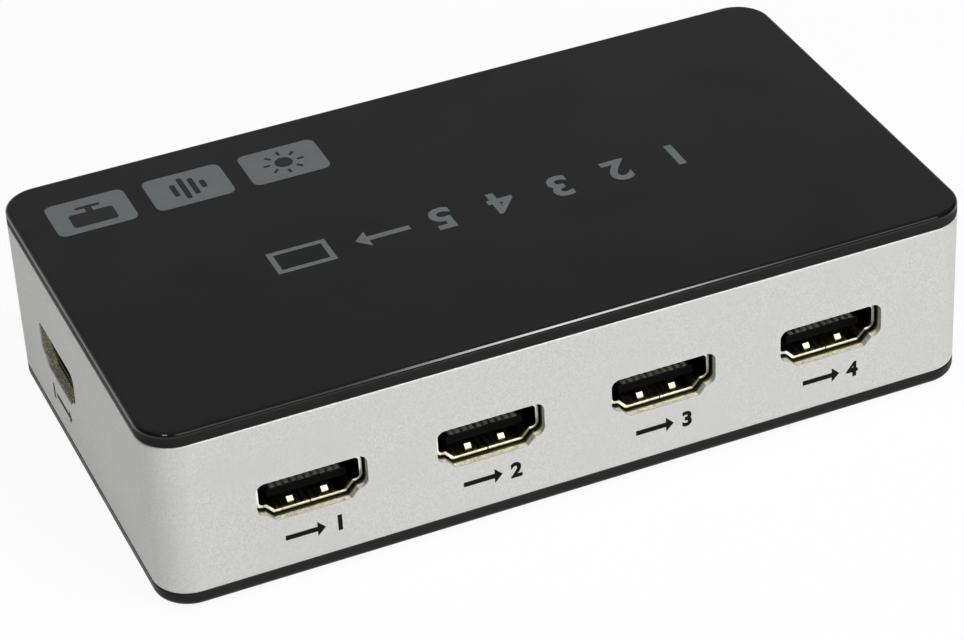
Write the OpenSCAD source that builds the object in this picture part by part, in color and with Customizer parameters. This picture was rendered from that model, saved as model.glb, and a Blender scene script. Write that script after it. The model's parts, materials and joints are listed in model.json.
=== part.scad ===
// Video switch box: five inputs and one output in a three-layer case.
// Origin: middle of the footprint, on the surface that the feet stand on. +Z is up, sizes are in mm.
// Four inputs face -Y, the output faces -X, the fifth input and the power jack face +X,
// and the select button, the indicator lights and the receiver window face +Y.

/* [Case] */
// Length of the case along X
body_w = 118; // [114:0.5:130]
// Depth of the case along Y
body_d = 65; // [62:0.5:76]
// Radius of the upright corners
corner_r = 5.2; // [4:0.1:7]
// Height of the lid above the frame
lid_h = 2.2; // [2:0.1:4]
// Radius of the lid's upper edge
lid_edge_r = 0.6; // [0.4:0.1:1.8]
// Thickness of the lid's skin
lid_skin = 2; // [1.6:0.1:2.4]
// Height of the frame
frame_h = 23.4; // [22:0.2:32]
// Thickness of the frame's wall
frame_wall = 1.5; // [1.3:0.1:2]
// Height of the base below the frame
base_h = 2.2; // [1.8:0.1:3]
// Radius of the base's lower edge
base_edge_r = 1.1; // [0.4:0.1:1.4]
// Small radius on the edges where the three layers meet
edge_break = 0.25; // [0.1:0.05:0.35]
// Height of the locating rims inside the frame
rim_h = 2; // [1.2:0.1:2.8]
// Thickness of the locating rims
rim_wall = 1.2; // [0.8:0.1:1.6]
// Clearance between the rims and the frame
rim_gap = 0.15; // [0.05:0.05:0.3]

/* [Feet] */
// Diameter of each rubber foot
foot_d = 8; // [6:0.5:10]
// How far the feet stand out below the base
foot_out = 0.8; // [0.5:0.1:2]
// Depth of the recess that holds each foot
foot_sink = 0.6; // [0.3:0.1:1]
// Clearance round each foot in its recess
foot_gap = 0.1; // [0.05:0.05:0.3]
// Distance of the feet from the ends of the case
foot_in_x = 18; // [16:0.5:24]
// Distance of the feet from the long faces of the case
foot_in_y = 9.5; // [8:0.5:14]

/* [Case screws] */
// Shank diameter of the case screws
case_screw_d = 2.6; // [2:0.1:3]
// Head diameter of the case screws
case_head_d = 4.8; // [4.2:0.1:5.2]
// Head height of the case screws
case_head_h = 1.8; // [1.4:0.1:2.2]
// Length of the case screws under the head
case_screw_len = 9; // [7:0.5:14]
// Diameter of the lid's screw bosses
boss_d = 6.4; // [5.6:0.1:7.2]
// Distance of the case screws from the faces of the case
boss_in = 6.5; // [6.2:0.1:8]
// Thickness of the ribs that brace the bosses
rib_t = 1; // [0.8:0.1:1.6]
// Height of the ribs below the lid
rib_h = 9; // [5:0.5:12]
// Height of the base's screw wells above its floor
well_h = 5; // [4.4:0.2:5.6]
// Wall of the screw wells
well_wall = 1.2; // [0.8:0.1:1.4]
// Ledge that the screw heads bear on
well_ledge = 1.8; // [1.2:0.1:2.2]
// Clearance round screw heads in their wells
head_gap = 0.3; // [0.15:0.05:0.4]
// Clearance round screw shanks in through holes
shank_gap = 0.2; // [0.1:0.05:0.4]
// Clearance round screw shanks in pilot holes
thread_gap = 0.02; // [0.01:0.01:0.05]
// Width of the cross recess in screw heads
cross_w = 0.6; // [0.4:0.1:0.8]

/* [Main board] */
// Thickness of the board
board_t = 1.6; // [1:0.1:2]
// Gap between the board's edges and the frame
board_gap = 1.5; // [0.8:0.1:2.2]
// Gap between the board and the lid's bosses
notch_gap = 0.5; // [0.3:0.1:0.8]
// Shank diameter of the board screws
board_screw_d = 2.5; // [2:0.1:3]
// Head diameter of the board screws
board_head_d = 4.6; // [4:0.1:5.2]
// Head height of the board screws
board_head_h = 1.6; // [1.2:0.1:2]
// Length of the board screws under the head
board_screw_len = 6; // [5:0.5:7]
// Diameter of the standoffs under the board
standoff_d = 6; // [5:0.1:7]
// Distance of the front board screws from the front face
board_screw_front = 12.5; // [11:0.5:16]
// Distance of the rear board screws from the socket face
board_screw_back = 8.5; // [7.5:0.5:11]
// Gap under pieces that stand on one another
seat_gap = 0.05; // [0.02:0.01:0.08]
// Clearance round legs and leads in the board
lead_gap = 0.15; // [0.1:0.05:0.2]
// How far legs and leads reach below the board
lead_out = 0.7; // [0.4:0.1:1.2]

/* [Video sockets] */
// Distance of the outer inputs' middles from the ends of the case
input_end = 21.3; // [20:0.05:26]
// Height of the shells' middle above the frame's lower edge
socket_up = 10.7; // [10.2:0.1:12]
// Distance of the output's middle from the front face
output_in = 23; // [21.5:0.5:28.5]
// Distance of the fifth input's middle from the front face
input_5_in = 23; // [21.5:0.5:25.5]
// Width of the opening
opening_w = 14; // [13.8:0.05:14.4]
// Height of the opening
opening_h = 4.55; // [4.45:0.05:4.9]
// Radius of the opening's corners
opening_r = 0.6; // [0.3:0.05:0.8]
// Height of the sloped lower part
slope_h = 1.225; // [1:0.025:1.4]
// Width at the top of the slopes
slope_w = 12; // [11.6:0.1:12.6]
// Width of the flat floor
floor_w = 9.7; // [9.2:0.1:10.2]
// Thickness of the sheet that the shell is bent from
sheet = 0.4; // [0.2:0.05:0.45]
// Length of the shell
shell_len = 11.6; // [11:0.1:12.4]
// Depth of the shell's front edge behind the case face
socket_recess = 1.5; // [0.4:0.1:1.6]
// Clearance between the shell and its cut-out
cut_gap = 0.3; // [0.25:0.05:0.5]
// Extra height of the cut-out above the shell
cut_head = 0.45; // [0:0.05:0.8]
// Width of the seam in the shell's floor
seam_w = 0.15; // [0.1:0.05:0.3]
// Width of the spring fingers
finger_w = 0.9; // [0.8:0.1:1.8]
// Length of the spring fingers
finger_len = 4.6; // [3.6:0.1:5]
// Distance of the fingers' tips behind the shell's front edge
finger_in = 0.9; // [0.8:0.1:1.6]
// Height that the fingers bulge into the opening
finger_lift = 0.5; // [0.2:0.05:0.6]
// Length of the fingers' bent tips
finger_tip = 0.5; // [0.4:0.05:1]
// Height that the tips bend back
finger_dip = 0.5; // [0.2:0.05:0.6]
// Slot round each finger
finger_gap = 0.25; // [0.15:0.05:0.4]
// Distance of the lower fingers from the middle
finger_low_x = 2.4; // [1.6:0.1:3]
// Distance of the upper fingers from the middle
finger_high_x = 3.6; // [2:0.1:4.6]
// Width of the shell's legs
leg_w = 1.6; // [1.2:0.1:2]
// Distance of the front legs behind the shell's front edge
leg_front = 2.8; // [2.6:0.1:4]
// Distance of the rear legs behind the shell's front edge
leg_back = 8.8; // [7:0.1:9]

/* [Socket insulators] */
// Width of the tongue
tongue_w = 11; // [10.4:0.1:11.4]
// Thickness of the tongue
tongue_t = 1.3; // [1.1:0.1:1.5]
// Distance of the tongue below the middle of the opening
tongue_drop = 0.3; // [0:0.05:0.35]
// Distance of the tongue's tip behind the shell's front edge
tongue_in = 1.1; // [1:0.1:2]
// Chamfer on the tongue's tip
tongue_tip = 0.15; // [0.1:0.05:0.4]
// Distance of the rear block behind the shell's front edge
block_in = 7.4; // [6.8:0.1:8]
// Clearance between the block and the shell
block_gap = 0.05; // [0.02:0.01:0.1]
// Spacing of the contacts in each row
contact_pitch = 1; // [0.9:0.05:1.05]
// Width of the contacts on the tongue
contact_w = 0.45; // [0.35:0.05:0.55]
// Thickness of the contacts
contact_t = 0.2; // [0.15:0.05:0.3]
// How far the contacts stand proud of the tongue
contact_out = 0.05; // [0.02:0.01:0.1]
// Distance of the contacts behind the tongue's tip
contact_in = 0.35; // [0.35:0.05:0.8]
// Width of the contacts' tails
tail_w = 0.25; // [0.2:0.05:0.35]
// Length of the contacts' feet on the board
tail_len = 0.9; // [0.6:0.1:1.2]
// Clearance round the contacts in the insulator
contact_gap = 0.02; // [0.01:0.01:0.04]
// Room beside the contacts in the tongue's grooves
groove_gap = 0.08; // [0.02:0.01:0.12]

/* [Power jack] */
// Distance of the jack's axis from the socket face
jack_in = 23; // [20.5:0.5:26.5]
// Width of the jack
jack_w = 9; // [8.4:0.1:10]
// Length of the jack
jack_len = 13.4; // [12.6:0.1:14.4]
// Height of the jack
jack_h = 10.8; // [9.8:0.1:11.6]
// Height of the bore's axis above the board
jack_axis = 6.5; // [6.2:0.1:7]
// Diameter of the bore
jack_bore = 6; // [5.6:0.1:6.4]
// Depth of the bore
jack_depth = 9.5; // [8.5:0.1:10]
// Diameter of the centre pin
jack_pin_d = 2; // [1.6:0.1:2.5]
// Distance of the pin's tip behind the jack's face
jack_pin_in = 1.2; // [1:0.1:2]
// Width of the jack's terminals
terminal_w = 2.4; // [1.8:0.1:2.8]
// Thickness of the jack's terminals
terminal_t = 0.4; // [0.3:0.05:0.6]
// Distance of the jack spring's tip behind the jack's face
spring_in = 2; // [1.8:0.1:3]
// Length of the spring's bent tip
spring_tip = 1.5; // [1:0.1:2]
// How far the spring rises into the bore
spring_lift = 0.5; // [0.3:0.05:0.8]
// Depth of the spring's root below the bore
spring_drop = 1; // [0.8:0.1:1.2]
// Front wall of the jack's lower slot
jack_wall = 1.6; // [1.2:0.1:1.7]
// How far the frame's hole is wider than the bore
jack_lip = 0.3; // [0.2:0.05:0.6]

/* [Select button] */
// Distance of the button's axis from the output's end of the case
button_in = 21; // [19:0.5:27]
// Diameter of the button
button_d = 7; // [5.6:0.1:8]
// How far the button stands out of the front
button_out = 1; // [0.8:0.1:2]
// Radius of the button's front edge
button_edge_r = 0.6; // [0.3:0.1:0.7]
// Travel of the button
button_travel = 0.4; // [0.25:0.05:0.45]
// Clearance round the button and in front of its flange
button_gap = 0.3; // [0.2:0.05:0.4]
// Width of the button's flange beyond its hole
flange_w = 0.9; // [0.6:0.1:1.2]
// Thickness of the button's flange
flange_t = 1; // [0.8:0.1:1.4]
// Size of the square key switch
switch_size = 6.2; // [6:0.1:7]
// Thickness of the key switch
switch_t = 3.4; // [3.2:0.1:4]
// Distance of the key switch's cover from the front face
switch_in = 6; // [5.6:0.1:7]
// Thickness of the switch's cover plate
cover_t = 0.28; // [0.2:0.02:0.4]
// Diameter of the switch's stem
stem_d = 3.5; // [3:0.1:3.8]
// How far the stem stands out of the switch
stem_out = 1; // [0.8:0.1:1.4]
// Width of the stem's collar
collar_w = 0.65; // [0.5:0.05:0.8]
// Thickness of the stem's collar
collar_t = 0.6; // [0.4:0.1:0.8]
// Clearance round the stem
stem_gap = 0.3; // [0.2:0.05:0.35]
// Thickness of the snap dome
dome_t = 0.1; // [0.08:0.01:0.15]
// Height of the snap dome, pressed
dome_h = 0.25; // [0.15:0.05:0.3]
// Width of the switch's terminals
switch_pin_w = 0.7; // [0.5:0.1:0.9]
// Thickness of the switch's terminals
switch_pin_t = 0.3; // [0.2:0.05:0.4]
// How far the terminals reach into the switch
switch_pin_in = 0.35; // [0.2:0.05:0.4]

/* [Indicator lights] */
// Diameter of the lenses
light_d = 3; // [2.5:0.1:3.6]
// Spacing of the lights
light_pitch = 8; // [6:0.1:8.4]
// How far the lenses stand out of the front
light_out = 0.6; // [0.2:0.1:1.2]
// Length of the lenses
light_len = 5.6; // [5:0.1:6.5]
// Height of the lenses' collar beyond their side
light_collar = 0.4; // [0.2:0.1:0.6]
// Length of the collar
light_collar_t = 1; // [0.6:0.1:1.2]
// Clearance round the lenses in the frame
light_gap = 0.15; // [0.1:0.05:0.3]
// Thickness of the square leads
light_lead_t = 0.5; // [0.4:0.05:0.6]
// Spacing of the two leads of a light
light_lead_pitch = 1.6; // [1.27:0.01:2]
// Run of the leads behind the lens before they bend down
light_lead_run = 1.4; // [1:0.1:2]

/* [Receiver] */
// Distance of the window's middle from the jack's end of the case
window_in = 21; // [19:0.5:23]
// Width of the window
window_w = 11; // [9:0.1:12]
// Height of the window
window_h = 5.6; // [5:0.1:6]
// Radius of the window's corners
window_r = 1; // [0.5:0.1:1.5]
// Width of the window's flange behind the frame
window_flange = 0.9; // [0.6:0.1:1.2]
// Thickness of the window's flange
window_flange_t = 0.8; // [0.6:0.1:1]
// Clearance round the window in the frame
window_gap = 0.1; // [0.05:0.05:0.2]
// Width of the receiver
receiver_w = 6; // [5:0.1:7]
// Height of the receiver
receiver_h = 6.4; // [6:0.1:7]
// Thickness of the receiver
receiver_t = 3.2; // [2.6:0.1:4]
// Radius of the receiver's lens
receiver_lens_r = 2; // [1.5:0.1:2.2]
// Gap between the window's flange and the receiver's lens
receiver_gap = 0.4; // [0.2:0.1:0.8]
// Thickness of the receiver's leads
receiver_lead_t = 0.5; // [0.4:0.05:0.6]
// Spacing of the receiver's leads
receiver_lead_pitch = 1.9; // [1.6:0.1:2.2]

/* [Parts on the board] */
// Side of the switching chip
chip_size = 10; // [8:0.5:12]
// Thickness of the switching chip
chip_t = 1.2; // [0.9:0.1:1.6]
// Leads on each side of the switching chip
chip_leads = 14; // [8:1:16]
// Spacing of the switching chip's leads
chip_pitch = 0.6; // [0.45:0.05:0.6]
// Length of the control chip
control_len = 8.6; // [7:0.1:10]
// Width of the control chip
control_w = 3.9; // [3.5:0.1:5]
// Leads on each side of the control chip
control_leads = 7; // [4:1:7]
// Spacing of the control chip's leads
control_pitch = 1.15; // [0.9:0.05:1.2]
// How far chips stand above the board
chip_up = 0.15; // [0.1:0.05:0.3]
// Thickness of chip leads
lead_t = 0.15; // [0.1:0.01:0.2]
// Reach of chip leads beyond the body
lead_reach = 1; // [0.8:0.1:1.4]
// Length of the crystal
crystal_len = 11; // [9:0.1:12]
// Width of the crystal
crystal_w = 4.6; // [4:0.1:5]
// Height of the crystal
crystal_h = 3.5; // [2.5:0.1:4.5]
// Diameter of the capacitors
capacitor_d = 6.3; // [5:0.1:7]
// Height of the capacitors
capacitor_h = 7.7; // [5.4:0.1:10]
// Spacing of the capacitors
capacitor_pitch = 8; // [7.6:0.1:9]
// Gap between the jack and the capacitors
capacitor_gap = 4.9; // [2:0.1:8]
// Distance of the capacitors' middle from the jack's axis, towards the front
capacitor_aside = 5.5; // [4:0.5:8]
// Length of the regulator
regulator_len = 6.5; // [5.5:0.1:7]
// Width of the regulator
regulator_w = 3.5; // [3:0.1:4]
// Height of the regulator
regulator_h = 1.7; // [1.4:0.1:2]
// Gap between the regulator and the capacitors
regulator_gap = 5.6; // [2:0.1:8]
// Thickness of the regulator's leads and tab
regulator_lead_t = 0.3; // [0.2:0.05:0.4]
// Width of the regulator's leads
regulator_lead_w = 0.7; // [0.5:0.05:0.9]
// Reach of the regulator's leads and tab
regulator_reach = 1.6; // [1.2:0.1:2]
// Length of each small resistor
resistor_len = 2; // [1.6:0.1:2.4]
// Width of each small resistor
resistor_w = 1.25; // [0.8:0.05:1.5]
// Height of each small resistor
resistor_h = 0.5; // [0.4:0.05:0.7]
// Spacing of the small resistors
resistor_pitch = 3; // [2:0.1:4]
// Distance of the small resistors from the socket face
resistor_in = 18; // [17:0.5:20]
// Gap between the small resistors and the switching chip's leads
chip_gap = 3.5; // [2:0.1:5]

/* [Hidden] */
$fn = 64;

// How far cuts run past the faces they open
over = 1;

// How far joined forms run into each other
joined = 0.5;

// Least radius of an inner corner
least_r = 0.2;

// Straight left between two round ends
tangent = 0.01;

// Levels, from the surface that the feet stand on
z_base = foot_out;
z_frame = z_base + base_h;
z_lid = z_frame + frame_h;
z_top = z_lid + lid_h;
shell_z = z_frame + socket_up;
board_top = shell_z - opening_h/2 - sheet - seat_gap;
board_z = board_top - board_t;
well_top = z_frame + well_h;
front_z = board_top + seat_gap + switch_size/2;
jack_z = board_top + jack_axis;

// Outlines
inner_w = body_w - 2*frame_wall;
inner_d = body_d - 2*frame_wall;
inner_r = corner_r - frame_wall;
rim_w = inner_w - 2*rim_gap;
rim_d = inner_d - 2*rim_gap;
rim_r = inner_r - rim_gap;
board_w = inner_w - 2*board_gap;
board_d = inner_d - 2*board_gap;

// Screws
boss_x = body_w/2 - boss_in;
boss_y = body_d/2 - boss_in;
well_d = case_head_d + 2*head_gap + 2*well_wall;
head_seat = well_top - well_ledge;
board_screw_y = [-(body_d/2 - board_screw_back), body_d/2 - board_screw_front];
board_screw_z = board_top + seat_gap;
pilot_spare = 0.4;
pilot_len = board_screw_len - board_t + pilot_spare;

// Sockets: place and turn of each; inside a socket +Y leads into the case
socket_pitch = (body_w - 2*input_end)/3;
quarter_turn = 360/4;
input_places = [for (i = [-1.5:1:1.5]) [i*socket_pitch, -body_d/2, 0]];
input_5_place = [body_w/2, body_d/2 - input_5_in, quarter_turn];
output_place = [-body_w/2, body_d/2 - output_in, -quarter_turn];
socket_places = concat(input_places, [input_5_place, output_place]);
slope_angle = atan2(slope_h, (slope_w - floor_w)/2);
shell_back = socket_recess + shell_len;
tongue_top = -tongue_drop + tongue_t/2;
tongue_low = -tongue_drop - tongue_t/2;
contact_start = socket_recess + tongue_in + contact_in;
board_below = board_top - shell_z;
leg_end = board_z - lead_out - shell_z;
row_high = [for (i = [-4.5:1:4.5]) i*contact_pitch];
row_low = [for (i = [-4:1:4]) i*contact_pitch];

// Power jack
jack_y = jack_in - body_d/2;
jack_front = frame_wall + seat_gap;
jack_rear = jack_front + jack_len;
jack_cavity = jack_front + jack_depth + jack_wall;
pin_plate_in = 0.5;
pin_plate_y = jack_cavity + pin_plate_in;
spring_y = jack_front + jack_depth - terminal_w/2;

// Button and key switch, from the front face inwards
button_x = button_in - body_w/2;
flange_y = frame_wall + button_gap;
flange_d = button_d + 2*button_gap + 2*flange_w;
relief_y = flange_y + flange_t + button_travel + button_gap;
stem_tip = switch_in - stem_out;
switch_front = switch_in + cover_t + seat_gap;
collar_y = switch_in + cover_t + stem_gap;
collar_d = stem_d + 2*collar_w;
nub_out = 0.3;
nub_end = collar_y + collar_t + nub_out;
dome_room = 0.15;
dome_y = nub_end + button_travel + dome_room + dome_h + dome_t;
cavity_d = collar_d + 2*stem_gap;
pin_from_side = 0.9;
pin_from_end = 0.6;
switch_pin_x = switch_size/2 - pin_from_side;
switch_pin_y = [switch_front + pin_from_end, switch_front + switch_t - pin_from_end];

// Lights and receiver, from the front face inwards
window_x = body_w/2 - window_in;
light_x = [for (i = [-2:2]) i*light_pitch];
light_back = light_len - light_out;
light_lead_y = light_back + seat_gap + light_lead_run;
window_back = frame_wall + seat_gap + window_flange_t;
receiver_front = window_back + receiver_gap + receiver_lens_r;
receiver_lead_y = receiver_front + receiver_t/2;
receiver_low = board_top + 2*seat_gap - front_z;

// Places of the parts on the board, and the dimples that mark the chips' first leads
mark_deep = 0.1;
chip_y = resistor_in + resistor_len - body_d/2 + chip_gap + lead_reach + chip_size/2;
chip_x = -4;
chip_place = [chip_x, chip_y];
control_right = 19;
control_ahead = 11;
control_place = [chip_x + control_right, chip_y + control_ahead];
crystal_left = 18;
crystal_ahead = 9;
crystal_place = [chip_x - crystal_left, chip_y + crystal_ahead];
capacitor_x = body_w/2 - jack_rear - capacitor_gap - capacitor_d/2;
capacitor_place = [capacitor_x, jack_y + capacitor_aside];
regulator_x = capacitor_x - capacitor_d/2 - regulator_gap - regulator_len/2;
regulator_place = [regulator_x, jack_y + capacitor_aside];

// Rounded rectangle around the origin
module rounded_rect(w, d, r) {
    square([w - 2*r, d], center = true);
    square([w, d - 2*r], center = true);
    for (x = [-1, 1], y = [-1, 1]) translate([x*(w/2 - r), y*(d/2 - r)]) circle(r);
}

// Half section of a plate: its outer edge has the radius low at the bottom and high at the top
module edge_profile(depth, h, low, high) {
    intersection() {
        square([depth, h]);
        union() {
            translate([0, low]) square([depth, h - low - high]);
            square([depth - low, h - high]);
            translate([0, low]) square([depth - high, h - low]);
            if (low > 0) translate([depth - low, low]) circle(low);
            if (high > 0) translate([depth - high, h - high]) circle(high);
        }
    }
}

// Plate with rounded corners, whose edge section runs along its sides and turns round its corners
module soft_plate(w, d, r, h, low, high) {
    for (k = [0:3]) {
        half = k % 2 == 0 ? w/2 : d/2;
        run = k % 2 == 0 ? d/2 : w/2;
        rotate([0, 0, 90*k]) translate([half - r, run - r, 0]) {
            rotate([90, 0, 0]) linear_extrude(2*(run - r)) edge_profile(r, h, low, high);
            rotate_extrude(angle = 90) edge_profile(r, h, low, high);
        }
    }
    translate([r - w/2, r - d/2, 0]) cube([w - 2*r, d - 2*r, h]);
}

// Ring inside the frame that holds the lid or the base in line
module rim(h) {
    linear_extrude(h) difference() {
        rounded_rect(rim_w, rim_d, rim_r);
        rounded_rect(rim_w - 2*rim_wall, rim_d - 2*rim_wall, max(rim_r - rim_wall, least_r));
    }
}

module at_bosses() {
    for (x = [-boss_x, boss_x], y = [-boss_y, boss_y]) translate([x, y, 0]) children();
}

module at_feet() {
    for (x = [-1, 1], y = [-1, 1])
        translate([x*(body_w/2 - foot_in_x), y*(body_d/2 - foot_in_y), 0]) children();
}

module at_board_screws() {
    for (x = [-socket_pitch, socket_pitch], y = board_screw_y) translate([x, y, 0]) children();
}

module at_place(p) {
    translate([p[0], p[1], shell_z]) rotate([0, 0, p[2]]) children();
}

module at_front(x) {
    translate([x, body_d/2, front_z]) rotate([0, 0, 180]) children();
}

module at_jack() {
    translate([body_w/2, jack_y, jack_z]) rotate([0, 0, 90]) children();
}

// Extrudes a shape drawn in X and Z into the case, from depth y0
module inward(y0, len) {
    translate([0, y0 + len, 0]) rotate([90, 0, 0]) linear_extrude(len) children();
}

// Extrudes a shape drawn in Y and Z along X, w wide around x
module across(x, w) {
    translate([x - w/2, 0, 0]) rotate([90, 0, 90]) linear_extrude(w) children();
}

// Turns a half section about an axis that leads into the case, from depth y0
module turned(y0) {
    translate([0, y0, 0]) rotate([-90, 0, 0]) rotate_extrude() children();
}

// Pan head screw with its head below z = 0 and its shank above
module screw(d, len, head_d, head_h) {
    round_r = head_h*0.45;
    cross_len = head_d*0.6;
    cross_deep = head_h*0.55;
    tip_d = d*0.4;
    difference() {
        union() {
            translate([0, 0, -head_h]) rotate_extrude() edge_profile(head_d/2, head_h, round_r, 0);
            cylinder(d = d, h = len - d/2);
            translate([0, 0, len - d/2]) cylinder(d1 = d, d2 = tip_d, h = d/2);
        }
        for (a = [0, 90]) rotate([0, 0, a])
            translate([-cross_len/2, -cross_w/2, -head_h - over])
                cube([cross_len, cross_w, over + cross_deep]);
    }
}

// Opening of a video socket, grown by the thickness of what surrounds it
module socket_outline(grow, head = 0) {
    low = -opening_h/2 + slope_h - grow;
    high = opening_h/2 + grow + head;
    side = grow*tan(slope_angle/2);
    translate([0, (low + high)/2]) rounded_rect(opening_w + 2*grow, high - low, opening_r + grow);
    polygon([
        [-floor_w/2 - side, -opening_h/2 - grow], [floor_w/2 + side, -opening_h/2 - grow],
        [slope_w/2 + side, low], [slope_w/2 + side, 0], [-slope_w/2 - side, 0], [-slope_w/2 - side, low]
    ]);
}

// Side view of a spring finger: it leaves the wall at its root and bulges into the opening near its tip
module finger_side() {
    crest = finger_in + finger_tip;
    dip = finger_lift - finger_dip;
    root = finger_in + finger_len;
    polygon([
        [root, -sheet], [root, 0], [crest, finger_lift], [finger_in, dip],
        [finger_in, dip - sheet], [crest, finger_lift - sheet]
    ]);
}

module finger_slot(x) {
    translate([x - finger_w/2 - finger_gap, finger_in - finger_gap, -2*sheet])
        cube([finger_w + 2*finger_gap, finger_len + finger_gap, 3*sheet]);
}

// Brings a finger or its slot to the shell's floor or roof
module at_floor() { translate([0, socket_recess, -opening_h/2]) children(); }
module at_roof() { translate([0, socket_recess, opening_h/2]) mirror([0, 0, 1]) children(); }

// Shell bent from sheet, open at both ends, with a seam, spring fingers and four legs
module socket_shell() {
    difference() {
        inward(socket_recess, shell_len) socket_outline(sheet);
        inward(socket_recess - over, shell_len + 2*over) socket_outline(0);
        translate([-seam_w/2, 0, -opening_h/2 - 2*sheet]) cube([seam_w, shell_back + over, 3*sheet]);
        at_floor() for (x = [-finger_low_x, finger_low_x]) finger_slot(x);
        at_roof() for (x = [-finger_high_x, finger_high_x]) finger_slot(x);
    }
    at_floor() for (x = [-finger_low_x, finger_low_x]) across(x, finger_w) finger_side();
    at_roof() for (x = [-finger_high_x, finger_high_x]) across(x, finger_w) finger_side();
    for (s = [-1, 1], y = [leg_front, leg_back])
        translate([s*(opening_w + sheet)/2 - sheet/2, socket_recess + y, leg_end])
            cube([sheet, leg_w, -leg_end - slope_h/2]);
}

// One contact: a strip on the tongue, a riser behind the block and a foot on the board
module contact(x, z, grow = 0, side = 0) {
    back = shell_back + contact_gap;
    low = board_below + seat_gap;
    translate([x - contact_w/2 - side, contact_start - grow, z - grow])
        cube([contact_w + 2*side, back + contact_t - contact_start + grow, contact_t + 2*grow]);
    if (grow == 0) {
        translate([x - tail_w/2, back, low]) cube([tail_w, contact_t, z + contact_t - low]);
        translate([x - tail_w/2, back, low]) cube([tail_w, contact_t + tail_len, contact_t]);
    }
}

module all_contacts(grow = 0, side = 0) {
    for (x = row_high) contact(x, tongue_top + contact_out - contact_t, grow, side);
    for (x = row_low) contact(x, tongue_low - contact_out, grow, side);
}

// Rear block that fills the shell, and the tongue that carries the contacts in grooves
module socket_insulator() {
    tip = socket_recess + tongue_in;
    block = socket_recess + block_in;
    difference() {
        union() {
            inward(block, shell_back - block) socket_outline(-block_gap);
            across(0, tongue_w) polygon([
                [block + joined, tongue_low], [block + joined, tongue_top], [tip + tongue_tip, tongue_top],
                [tip, tongue_top - tongue_tip], [tip, tongue_low + tongue_tip], [tip + tongue_tip, tongue_low]
            ]);
        }
        all_contacts(contact_gap, groove_gap);
    }
}

module top_cover() {
    color("#1c1c1e") difference() {
        union() {
            translate([0, 0, z_lid]) soft_plate(body_w, body_d, corner_r, lid_h, edge_break, lid_edge_r);
            translate([0, 0, z_lid - rim_h]) rim(rim_h + lid_h - lid_skin + joined);
            at_bosses() translate([0, 0, well_top + seat_gap])
                cylinder(d = boss_d, h = z_top - lid_skin + joined - well_top - seat_gap);
            for (x = [-1, 1], y = [-1, 1]) translate([x*boss_x, y*boss_y, z_top - lid_skin - rib_h]) {
                translate([x > 0 ? 0 : -(rim_w/2 - boss_x - rim_wall/2), -rib_t/2, 0])
                    cube([rim_w/2 - boss_x - rim_wall/2, rib_t, rib_h + joined]);
                translate([-rib_t/2, y > 0 ? 0 : -(rim_d/2 - boss_y - rim_wall/2), 0])
                    cube([rib_t, rim_d/2 - boss_y - rim_wall/2, rib_h + joined]);
            }
        }
        at_bosses() translate([0, 0, well_top - over])
            cylinder(d = case_screw_d + 2*thread_gap, h = case_screw_len - well_ledge + 2*over);
    }
}

module side_frame() {
    color("#c9cac6") difference() {
        translate([0, 0, z_frame]) soft_plate(body_w, body_d, corner_r, frame_h, edge_break, edge_break);
        translate([0, 0, z_frame - over]) linear_extrude(frame_h + 2*over)
            rounded_rect(inner_w, inner_d, inner_r);
        for (p = socket_places) at_place(p) inward(-over, frame_wall + 2*over)
            socket_outline(sheet + cut_gap, cut_head);
        at_front(button_x) turned(-over) square([button_d/2 + button_gap, frame_wall + 2*over]);
        for (x = light_x) at_front(x) turned(-over) square([light_d/2 + light_gap, frame_wall + 2*over]);
        at_front(window_x) inward(-over, frame_wall + 2*over)
            rounded_rect(window_w + 2*window_gap, window_h + 2*window_gap, window_r + window_gap);
        at_jack() turned(-over) square([jack_bore/2 + jack_lip, frame_wall + 2*over]);
    }
}

module bottom_cover() {
    color("#202022") difference() {
        union() {
            translate([0, 0, z_base]) soft_plate(body_w, body_d, corner_r, base_h, base_edge_r, edge_break);
            translate([0, 0, z_frame - joined]) rim(rim_h + joined);
            at_bosses() translate([0, 0, z_frame - joined]) cylinder(d = well_d, h = well_h + joined);
            at_board_screws() translate([0, 0, z_frame - joined])
                cylinder(d = standoff_d, h = board_z - seat_gap - z_frame + joined);
        }
        at_bosses() translate([0, 0, z_base - over])
            cylinder(d = case_head_d + 2*head_gap, h = head_seat - z_base + over);
        at_bosses() cylinder(d = case_screw_d + 2*shank_gap, h = well_top + over);
        at_feet() translate([0, 0, z_base - over]) cylinder(d = foot_d + 2*foot_gap, h = foot_sink + over);
        at_board_screws() translate([0, 0, board_z - pilot_len])
            cylinder(d = board_screw_d + 2*thread_gap, h = pilot_len + over);
    }
}

module case_screws() {
    color("#8d9196") at_bosses() translate([0, 0, head_seat - seat_gap])
        screw(case_screw_d, case_screw_len, case_head_d, case_head_h);
}

module rubber_feet() {
    color("#2b2b2b") at_feet() rotate_extrude()
        edge_profile(foot_d/2, foot_out + foot_sink - seat_gap, foot_out/2, 0);
}

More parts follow.
